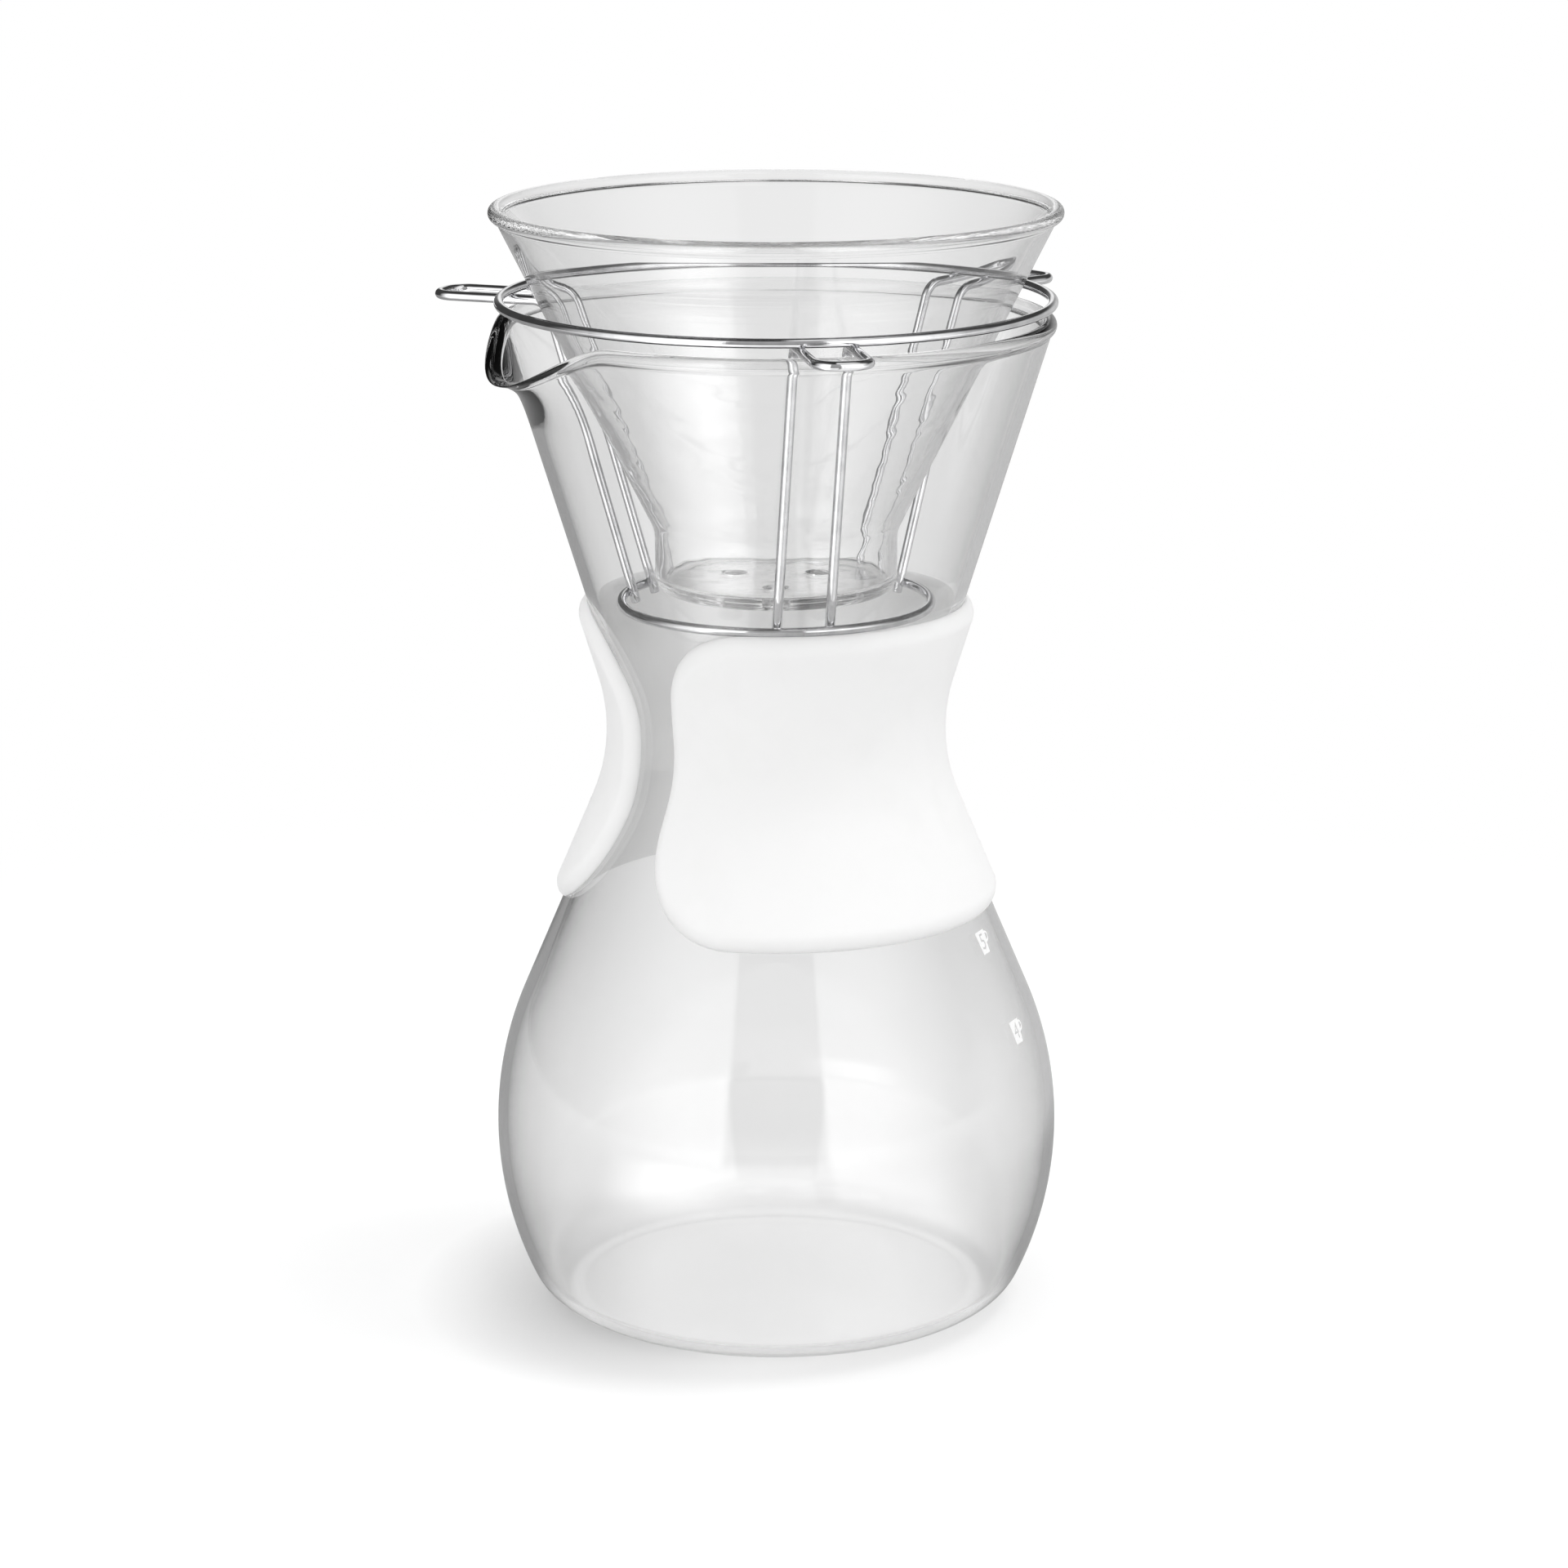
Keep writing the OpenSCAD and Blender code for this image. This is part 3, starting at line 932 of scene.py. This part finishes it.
@dataclass
class WireStand:
    """The welded wire stand: two rings and three hairpins whose loops rest on the carafe's rim."""

    carafe: Carafe
    wire_d: float = 2.0
    drop: float = 58.0
    clear: float = 3.7
    ring_inset: float = 0.8
    leg_gap: float = 10.5
    leg_tail: float = 0.8
    bend_r: float = 4.0
    loop_reach: float = 17.0
    loop_corner_r: float = 4.0
    weld_sink: float = 0.2
    rim_clear: float = 0.2
    dome: float = 0.35
    turns: Mapping[str, float] = field(
        default_factory=lambda: {"right": 15.5, "back": 135.5, "front": 255.5})
    sides: int = 28
    ring_columns: int = 288
    leg_steps: int = 24
    bend_steps: int = 14
    run_steps: int = 10
    loop_steps: int = 4
    dome_rings: int = 7

    def __post_init__(self) -> None:
        """Works out the rings and the bends from the carafe's rim and wall."""
        glass, wire_r = self.carafe, self.wire_d / 2
        rim_edge = glass.rim_r + glass.rim_bead_d / 2
        self.low_z = glass.height - self.drop
        self.low_r = glass.cone_r(self.low_z, glass.wall) - self.clear - wire_r
        self.loop_z = glass.height + self.rim_clear + wire_r
        self.loop_end = rim_edge + self.loop_reach - wire_r
        self.top_r = rim_edge - self.ring_inset
        self.top_z = self.loop_z + self.wire_d - self.weld_sink
        self.lean = glass.cone_angle
        skew = np.degrees(np.arcsin(self.leg_gap / 2 / self.low_r))
        inset = (self.wire_d - self.weld_sink) / (cosd(skew) * cosd(self.lean))
        self.leg_u = float(self.low_r * cosd(skew) - inset)
        self.tip_z = self.low_z - wire_r - self.leg_tail
        self.bend_z = self.loop_z - self.bend_r
        leg_top_z = self.bend_z + self.bend_r * sind(self.lean)
        self.bend_u = float(self.leg_at(leg_top_z) + self.bend_r * cosd(self.lean))

    def leg_at(self, z: float) -> float:
        """Distance of a leg from the axis at a height, along its hairpin's own direction."""
        return self.leg_u + (z - self.low_z) * tand(self.lean)

    def half_path(self) -> np.ndarray:
        """Centre line of half a hairpin that points along +X.

        It goes up the leg, over the upright bend, out along the loop and round the loop's corner.

        Returns:
            Points from the leg's tip to the loop's middle.
        """
        half = self.leg_gap / 2
        bend = arc((self.bend_u, self.bend_z), self.bend_r, 180.0 - self.lean, 90.0, self.bend_steps)
        upright = chain(line((self.leg_at(self.tip_z), self.tip_z), bend[0], self.leg_steps), bend)
        upright = np.stack([upright[:, 0], np.full(len(upright), half), upright[:, 1]], axis=1)
        turn = arc((self.loop_end - self.loop_corner_r, half - self.loop_corner_r),
                   self.loop_corner_r, 90.0, 0.0, self.bend_steps)
        run = line((self.bend_u, half), turn[0], self.run_steps)
        flat = chain(run, turn, line(turn[-1], (self.loop_end, 0.0), self.loop_steps))
        flat = np.pad(flat, ((0, 0), (0, 1)), constant_values=self.loop_z)
        return chain(upright, flat)

    def hairpin(self, turn: float) -> MeshDraft:
        """One hairpin: a round wire along the path and its mirror image, with domed tips.

        Args:
            turn: Direction of the hairpin, from +X.

        Returns:
            The draft of its mesh.
        """
        half = self.half_path()
        path = chain(half, half[::-1] * np.array([1.0, -1.0, 1.0]))
        wire_r = self.wire_d / 2
        dome = np.linspace(90.0, 0.0, self.dome_rings)
        depth = self.dome * wire_r * (1.0 - sind(dome))
        ends = []
        for tip, inner in ((path[0], path[1]), (path[-1], path[-2])):
            ends.append(tip + depth[:, None] * (inner - tip) / np.linalg.norm(inner - tip))
        radii = wire_r * np.concatenate([cosd(dome), np.ones(len(path) - 2), cosd(dome)[::-1]])
        points = np.concatenate([ends[0], path[1:-1], ends[1][::-1]])
        grid = swept(points, np.clip(radii, 0.0, None), self.sides)
        spin = np.array([[cosd(turn), sind(turn), 0.0], [-sind(turn), cosd(turn), 0.0], [0.0, 0.0, 1.0]])
        return MeshDraft().grid(grid @ spin, wrap_columns=True)

    def ring(self, radius: float, z: float) -> MeshDraft:
        """One ring of a radius at a height: a circle of wire carried round the axis."""
        section = arc((radius, z), self.wire_d / 2, 0.0, 360.0, self.sides)[:-1]
        return MeshDraft().grid(turned(section, around(self.ring_columns)), wrap_rows=True, wrap_columns=True)

    def build(self, metal: Finish) -> None:
        """Makes the rings and the hairpins.

        Args:
            metal: Their finish.
        """
        drafts = {"upper_ring": self.ring(self.top_r, self.top_z),
                  "lower_ring": self.ring(self.low_r, self.low_z)}
        drafts |= {f"hairpin_{name}": self.hairpin(turn) for name, turn in self.turns.items()}
        for node, draft in drafts.items():
            tie(draft.make(f"{node}_wire"), Body.STAND, metal, node)


@dataclass
class Dripper:
    """The glass dripper: a cone with a rolled rim, a straight foot and a floor with three drain holes."""

    stand: WireStand
    diameter: float = 115.0
    angle: float = 26.6
    wall: float = 2.0
    bead_d: float = 2.8
    bead_fillet: float = 2.0
    foot_d: float = 49.2
    foot_h: float = 12.4
    foot_corner_r: float = 3.2
    blend_r: float = 8.0
    floor_t: float = 2.5
    drain_d: float = 4.6
    drain_circle_d: float = 20.0
    drain_turn: float = 5.0
    drain_edge_r: float = 0.5
    drains: int = 3
    seat_clear: float = 0.2
    bend_swell: float = 0.03
    columns: int = 240
    corner_steps: int = 10
    inner_corner_steps: int = 8
    foot_steps: int = 6
    blend_steps: int = 12
    cone_steps: int = 44
    border_steps: int = 24
    floor_steps: int = 8
    edge_rings: int = 6

    def __post_init__(self) -> None:
        """Works out how high the cone hangs in the stand's bends."""
        stand = self.stand
        out = np.hypot(stand.bend_u, stand.leg_gap / 2)
        reach = stand.bend_r + stand.wire_d * (1 + self.bend_swell) / 2 + self.seat_clear
        self.apex_z = float(stand.bend_z - (out - reach / cosd(self.angle)) / tand(self.angle))
        self.foot_r = self.foot_d / 2
        self.foot_z = self.apex_z + self.foot_r / tand(self.angle) - self.foot_h
        self.floor_r = self.foot_r - self.foot_corner_r

    def section(self) -> np.ndarray:
        """Half section of the wall: straight lines and the arcs that touch them.

        Returns:
            Points from the floor's edge up the outer face, over the rim and down inside.
        """
        lean, bead_r = self.angle, self.bead_d / 2
        depth = self.wall - bead_r
        rim_r = self.diameter / 2 - bead_r
        rim_z = self.apex_z + (rim_r + depth / cosd(lean)) / tand(lean)
        blend_c = np.array([self.foot_r + self.blend_r, 0.0])
        blend_c[1] = self.apex_z + (blend_c[0] - self.blend_r / cosd(lean)) / tand(lean)
        outer_blend = arc(blend_c, self.blend_r, 180.0, 180.0 - lean, self.blend_steps)
        inner_blend = arc(blend_c, self.blend_r + self.wall, 180.0 - lean, 180.0, self.blend_steps)
        bead = beaded((rim_r, rim_z), bead_r, lean, depth, bead_r, self.bead_fillet)
        low = arc((self.floor_r, self.foot_z + self.foot_corner_r), self.foot_corner_r, -90.0, 0.0,
                  self.corner_steps)
        inner_r = self.foot_corner_r - self.wall
        inner_low = arc((self.floor_r, self.foot_z + self.floor_t + inner_r), inner_r, 0.0, -90.0,
                        self.inner_corner_steps)
        return chain(low, line(low[-1], outer_blend[0], self.foot_steps),
                     outer_blend, line(outer_blend[-1], bead[0], self.cone_steps),
                     bead, line(bead[-1], inner_blend[0], self.cone_steps),
                     inner_blend, line(inner_blend[-1], inner_low[0], self.foot_steps), inner_low)

    def floor_share(self, middle: float) -> np.ndarray:
        """One drain's share of the floor: its border drawn in to the hole, through it and out again.

        The border is two lines from the axis and the arc between them. Each column joins a border point
        to the hole's edge in the same direction from the hole's centre, below and above the floor, and
        the hole's edges are quarter rounds.

        Args:
            middle: Direction of the drain from the axis.

        Returns:
            A grid of points, one column for each point of the border.
        """
        half = 180.0 / self.drains
        rim = arc((0.0, 0.0), self.floor_r, middle - half, middle + half, self.columns // self.drains)
        spokes = line((0.0, 0.0), rim[0], self.border_steps), line(rim[-1], (0.0, 0.0), self.border_steps)
        border = chain(spokes[0], rim, spokes[1])[:-1]
        centre = self.drain_circle_d / 2 * np.array([cosd(middle), sind(middle)])
        away = border - centre
        away /= np.linalg.norm(away, axis=1, keepdims=True)
        edge = self.drain_edge_r
        mouth = centre + (self.drain_d / 2 + edge) * away
        share = eased(self.floor_steps)[:, None, None]
        flat = border * (1.0 - share) + mouth * share
        turn = np.linspace(0.0, 90.0, self.edge_rings)[1:]
        rounds = mouth - edge * sind(turn)[:, None, None] * away
        low = np.full(len(share), self.foot_z)
        low = np.concatenate([low, self.foot_z + edge * (1.0 - cosd(turn))])
        half_hole = np.concatenate([flat, rounds])
        whole = np.concatenate([half_hole, half_hole[::-1]])
        heights = np.concatenate([low, (2 * self.foot_z + self.floor_t - low)[::-1]])
        z = np.broadcast_to(heights[:, None, None], whole.shape[:2] + (1,))
        return np.concatenate([whole, z], axis=2)

    def build(self, glass: Finish) -> None:
        """Makes the dripper.

        Args:
            glass: Its finish.
        """
        start = self.drain_turn - 180.0 / self.drains
        draft = MeshDraft().grid(turned(self.section(), start + around(self.columns)), wrap_columns=True)
        for middle in self.drain_turn + around(self.drains):
            draft.grid(self.floor_share(middle)[::-1], wrap_columns=True)
        tie(draft.make("dripper_body"), Body.DRIPPER, glass, "dripper")


@dataclass
class PhotoCamera:
    """The camera at the photograph's place: azimuth from the front, height and tilt."""

    azimuth: float = -25.0
    distance: float = 978.0
    height: float = 354.8
    tilt: float = 14.11
    sideways: float = 1.6
    focal_px: float = 6012.0
    image_px: float = 1920.0
    sensor: float = 36.0

    def build(self) -> None:
        """Makes the camera and gives it to the scene."""
        data = bpy.data.cameras.new("photo_camera")
        data.sensor_width = self.sensor
        data.lens = self.sensor * self.focal_px / self.image_px
        camera = linked("photo_camera", data)
        back = np.array([sind(self.azimuth), -cosd(self.azimuth)])
        right = np.array([cosd(self.azimuth), sind(self.azimuth)])
        x, y = self.distance * back + self.sideways * right
        camera.location = (x * MM, y * MM, self.height * MM)
        camera.rotation_euler = np.radians([90.0 - self.tilt, 0.0, self.azimuth]).tolist()
        bpy.context.scene.camera = camera


@dataclass(frozen=True)
class Softbox:
    """One soft lamp: its heading from the camera's side, its rise, its distance, its size and its power."""

    name: str
    heading: float
    rise: float
    distance: float
    width: float
    tall: float
    power: float

    def build(self, azimuth: float, target_z: float) -> None:
        """Makes the lamp, aimed at the object.

        Args:
            azimuth: Azimuth of the camera.
            target_z: Height that the lamp is aimed at.
        """
        data = bpy.data.lights.new(self.name, "AREA")
        data.shape, data.energy = "RECTANGLE", self.power
        data.size, data.size_y = self.width * MM, self.tall * MM
        lamp = linked(self.name, data)
        turn = azimuth + self.heading
        flat = self.distance * cosd(self.rise)
        lamp.location = (flat * sind(turn) * MM, -flat * cosd(turn) * MM,
                         (target_z + self.distance * sind(self.rise)) * MM)
        lamp.rotation_euler = np.radians([90.0 - self.rise, 0.0, turn]).tolist()
        lamp.visible_camera = False
        lamp.visible_glossy = False
        lamp.visible_transmission = False


@dataclass
class Studio:
    """Pale floor, soft lamps and a plain white surround with two soft panels in its reflections.

    A span is where a soft edge starts and ends. Reach, near, far and fade are distances from the object's
    middle. Start, end and edge are headings. Side, left and right are places to the right, in millimetres on
    the floor and as part of a direction in the surround. Rise, low, high, ceiling and skyline are angles above
    the horizon.
    """

    camera: PhotoCamera
    floor_r: float = 1200.0
    floor_drop: float = 0.2
    floor_rings: int = 8
    floor_columns: int = 96
    floor_white: float = 0.80
    # Floor greys in mirrors: the paler right side is painted light from the lamp on that side, and the grey
    # under the object is painted shade.
    floor_left: float = 0.32
    floor_right: float = 0.50
    floor_under: float = 0.35
    floor_front: float = 0.90
    floor_far: float = 0.12
    far_reach: Span = (320.0, 640.0)
    seam: float = 0.75
    seam_reach: Span = (150.0, 185.0)
    seam_start: Span = (12.0, 15.0)
    seam_end: Span = (19.0, 23.0)
    seam_side: Span = (0.0, 20.0)
    floor_reach: Span = (120.0, 190.0)
    front_edge: Span = (58.0, 96.0)
    tone_side: Span = (-60.0, 60.0)
    # Painted contact shadow on the floor: its darkest grey, how far it reaches, its share on the right and
    # where that share changes.
    contact: float = 0.26
    contact_reach: float = 26.0
    contact_right: float = 0.12
    contact_side: Span = (-60.0, 0.0)
    contact_samples: int = 16
    floor_glow: float = 0.15
    # Painted light: a glow on the floor under the carafe, seen only through the glass, stands in for the light
    # that the glass would focus there.
    painted_caustic_glow: float = 0.24
    glow_reach: Span = (45.0, 110.0)
    glow_left: Span = (-50.0, -24.0)
    glow_right: Span = (34.0, 50.0)
    # Painted reflections: in mirrors the floor glows like the soft panels, and like a pool of light at the
    # front left, though it is no lamp.
    beam_reach: Span = (200.0, 700.0)
    painted_light_pool: float = 1.7
    pool_start: Span = (8.0, 36.0)
    pool_end: Span = (42.0, 70.0)
    pool_near: Span = (110.0, 170.0)
    pool_far: Span = (280.0, 480.0)
    pool_side: Span = (-20.0, 0.0)
    floor_fade: Span = (150.0, 420.0)
    ambient: float = 0.76
    ambient_above: float = 0.72
    ambient_rise: Span = (30.0, 80.0)
    backdrop: float = 0.97
    backdrop_edge: Span = (170.0, 178.0)
    backdrop_rise: Span = (30.0, 50.0)
    dim_left: float = 0.06
    dim_right: float = 0.65
    dim_side: Span = (-0.4, 0.4)
    dim_rise: Span = (4.0, 18.0)
    zenith: float = 0.05
    ceiling: Span = (44.0, 54.0)
    front: float = 0.46
    walls: float = 0.70
    wall_edge: Span = (62.0, 90.0)
    overhead: float = 1.0
    overhead_side: Span = (0.0, 0.12)
    overhead_edge: Span = (60.0, 95.0)
    panel: float = 2.1
    panel_start: Span = (18.0, 23.0)
    panel_end: Span = (36.0, 112.0)
    panel_low: Span = (-14.0, -4.0)
    panel_high: Span = (16.0, 64.0)
    seen_through: float = 0.89
    skyline: Span = (7.0, 20.0)
    bounces: int = 96
    clear_bounces: int = 32
    target_z: float = 110.0
    lamps: tuple[Softbox, ...] = (
        Softbox("key_softbox", 86.0, 66.0, 1500.0, 400.0, 400.0, 4.2),
        Softbox("fill_softbox", -60.0, 25.0, 1500.0, 700.0, 1000.0, 1.2),
        Softbox("front_softbox", 8.0, 34.0, 1500.0, 900.0, 700.0, 2.1),
    )

    def heading(self, graph: ShaderGraph, place: Channel) -> tuple[Channel, Channel, Channel]:
        """Turns coordinates into a heading away from the camera's side, to either hand.

        Args:
            graph: The tree to add to.
            place: Coordinates or a direction.

        Returns:
            The heading, 0 towards the camera and 180 behind, the part to the right and the part upwards.
        """
        x = graph.add("SeparateXYZ", inputs={0: place}, output="X")
        y, up = x.beside("Y"), x.beside("Z")
        behind = y * cosd(self.camera.azimuth) - x * sind(self.camera.azimuth)
        right = x * cosd(self.camera.azimuth) + y * sind(self.camera.azimuth)
        heading = right.math("ARCTAN2", right, 0.0 - behind)
        heading = heading.math("ABSOLUTE", heading, 0.0) * np.degrees(1.0)
        return heading, right, up

    def floor_tone(self, graph: ShaderGraph, away: Channel, heading: Channel, across: Channel) -> Channel:
        """The floor's grey: white with a painted contact shadow to the eye, darker in mirrors.

        In mirrors it is dark at both sides and under the object, where its grey is painted shade, paler on the
        right side, which is painted light, and pale in front, where a dark seam crosses it and its far part is
        dark.

        Args:
            graph: The floor's tree.
            away: Distances from the object's middle.
            heading: Headings away from the camera's side.
            across: Distances to the right.

        Returns:
            The colour.
        """
        # Painted shadow: ambient occlusion darkens the floor's colour to the eye near the object, more on its
        # left than on its right.
        open_share = graph.add("AmbientOcclusion", {"samples": self.contact_samples},
                               {"Distance": self.contact_reach * MM}, output="AO")
        painted_shade_side = 1.0 - across.step(*self.contact_side) * (1.0 - self.contact_right)
        shadow = (1.0 - open_share) * graph.rays(Ray.CAMERA) * painted_shade_side
        white = graph.blend(shadow, self.floor_white, self.contact)
        # Painted light and shade in mirrors: the floor is paler on the right and darker under the object.
        aside = graph.blend(across.step(*self.tone_side), self.floor_left, self.floor_right)
        dark = graph.blend(away.step(*self.floor_reach), self.floor_under, aside)
        seam = heading.between(self.seam_start, self.seam_end) * across.step(*self.seam_side)
        seam = seam * away.step(*self.seam_reach) * self.seam
        front = graph.blend(away.step(*self.far_reach) | seam, self.floor_front, self.floor_far)
        dark = graph.blend(heading.step(*self.front_edge), front, dark)
        return graph.blend(graph.mirrored(), white, dark)

    def floor_light(self, graph: ShaderGraph, away: Channel, heading: Channel, across: Channel) -> Channel:
        """The floor's own light: a little to the eye, painted light under the carafe seen through the glass
        where caustics would fall, and painted panels and a painted patch of light in mirrors.

        Args:
            graph: The floor's tree.
            away: Distances from the object's middle.
            heading: Headings away from the camera's side.
            across: Distances to the right.

        Returns:
            The strength.
        """
        mirrored = graph.mirrored()
        through = graph.rays(Ray.TRANSMISSION) & (1.0 - mirrored)
        # Painted light under the carafe, in place of the caustics that the glass would cast.
        painted_caustic_light = through * (1.0 - away.step(*self.glow_reach)) * self.painted_caustic_glow
        painted_caustic_light = painted_caustic_light * across.between(self.glow_left, self.glow_right)
        # Painted reflections: the floor glows in mirrors as the panels and a pool of light at the front left.
        painted_panel_light = heading.between(self.panel_start, self.panel_end) * away.step(*self.beam_reach) * self.panel
        painted_light_pool = heading.between(self.pool_start, self.pool_end) * self.painted_light_pool
        painted_light_pool = painted_light_pool * away.between(self.pool_near, self.pool_far) * (1.0 - across.step(*self.pool_side))
        return graph.rays(Ray.CAMERA) * self.floor_glow + painted_caustic_light + mirrored * (painted_panel_light | painted_light_pool)

    def floor(self) -> None:
        """Makes the floor: a disc of rings, white to the eye, that still takes the object's shadow from the
        lamps, with a painted contact shadow and painted light besides.
        """
        radii = np.linspace(self.floor_r, 0.0, self.floor_rings + 1)
        profile = np.stack([radii, np.full(len(radii), -self.floor_drop)], axis=1)
        floor = MeshDraft().grid(turned(profile, around(self.floor_columns)), wrap_columns=True).make("floor")
        graph = ShaderGraph(bpy.data.materials.new("pale_floor"))
        place = graph.place()
        away = graph.add("VectorMath", {"operation": "LENGTH"}, {0: place}, output="Value") / MM
        heading, right, _ = self.heading(graph, place)
        shape = graph, away, heading, right / MM
        matte = graph.add("BsdfDiffuse", inputs={"Color": self.floor_tone(*shape)})
        near = graph.add("AddShader", inputs={0: matte, 1: graph.emission(self.floor_light(*shape))})
        through = graph.rays(Ray.TRANSMISSION) & (1.0 - graph.mirrored())
        far = graph.emission(1.0 - through * (1.0 - self.seen_through))
        fade = away.step(*self.floor_fade) * (graph.rays(Ray.CAMERA) | through)
        floor.data.materials.append(graph.end(graph.mix(fade, near, far)))

    def world(self) -> None:
        """Makes the surround: white to the eye, dim at the sides and with soft panels in reflections."""
        graph = ShaderGraph(bpy.data.worlds.new("studio"))
        heading, right, up = self.heading(graph, graph.place())
        rise = up.math("ARCSINE", up, 0.0) * np.degrees(1.0)
        pale = right.step(*self.dim_side) * (1.0 - rise.step(*self.dim_rise))
        dim = self.dim_left + pale * (self.dim_right - self.dim_left)
        panels = heading.between(self.panel_start, self.panel_end)
        panels = panels * rise.between(self.panel_low, self.panel_high)
        front = self.front + heading.step(*self.panel_start) * (self.walls - self.front)
        side = heading.step(*self.wall_edge)
        walls = front * (1.0 - side) + side * (dim | heading.step(*self.backdrop_edge) * self.backdrop)
        high = rise.step(*self.ceiling)
        overhead = high * right.step(*self.overhead_side) * (1.0 - heading.step(*self.overhead_edge))
        mirrored = walls * (1.0 - high) + high * self.zenith | panels * self.panel | overhead * self.overhead
        through = mirrored | 1.0 - rise.step(*self.skyline) | rise.step(*self.backdrop_rise) * self.backdrop
        shiny = graph.rays(Ray.GLOSSY, Ray.TRANSMISSION)
        glossy = shiny & graph.mirrored()
        clear = shiny - glossy
        eye = graph.rays(Ray.CAMERA)
        strength = eye + glossy * mirrored + clear * through * self.seen_through
        lighting = self.ambient + rise.step(*self.ambient_rise) * self.ambient_above
        strength = strength + (1.0 - (glossy | clear | eye)) * lighting
        background = graph.add("Background", inputs={"Color": 1.0, "Strength": strength})
        bpy.context.scene.world = graph.end(background)

    def build(self) -> None:
        """Makes the floor, the surround and the lamps, and sets how light is traced and shown."""
        self.floor()
        self.world()
        for lamp in self.lamps:
            lamp.build(self.camera.azimuth, self.target_z)
        scene = bpy.context.scene
        scene.view_settings.view_transform = "Standard"
        scene.cycles.max_bounces = self.bounces
        scene.cycles.transmission_bounces = self.bounces
        scene.cycles.glossy_bounces = self.bounces
        scene.cycles.transparent_max_bounces = self.clear_bounces
        scene.cycles.caustics_reflective = False
        scene.cycles.caustics_refractive = False


def main() -> None:
    logging.basicConfig(level=logging.INFO, format="%(name)s: %(message)s")
    camera = PhotoCamera()
    camera.build()
    carafe_glass = ClearGlass("carafe_glass", ripple_height=0.008, ripple_scale=(30.0, 30.0, 60.0)).make()
    dripper_glass = ClearGlass(
        "dripper_glass", ripple_height=0.14, ripple_scale=(110.0, 110.0, 200.0), ripple_fade=(188.0, 214.0),
        tint=0.97, body_density=0.0).make()
    carafe = Carafe()
    carafe.build(carafe_glass)
    CupMarks(carafe).build(WhitePrint().make())
    GripSleeve(carafe).build(MatteSilicone().make())
    stand = WireStand(carafe)
    stand.build(PolishedWire().make())
    Dripper(stand).build(dripper_glass)
    Studio(camera).build()


if __name__ == "__main__":
    main()
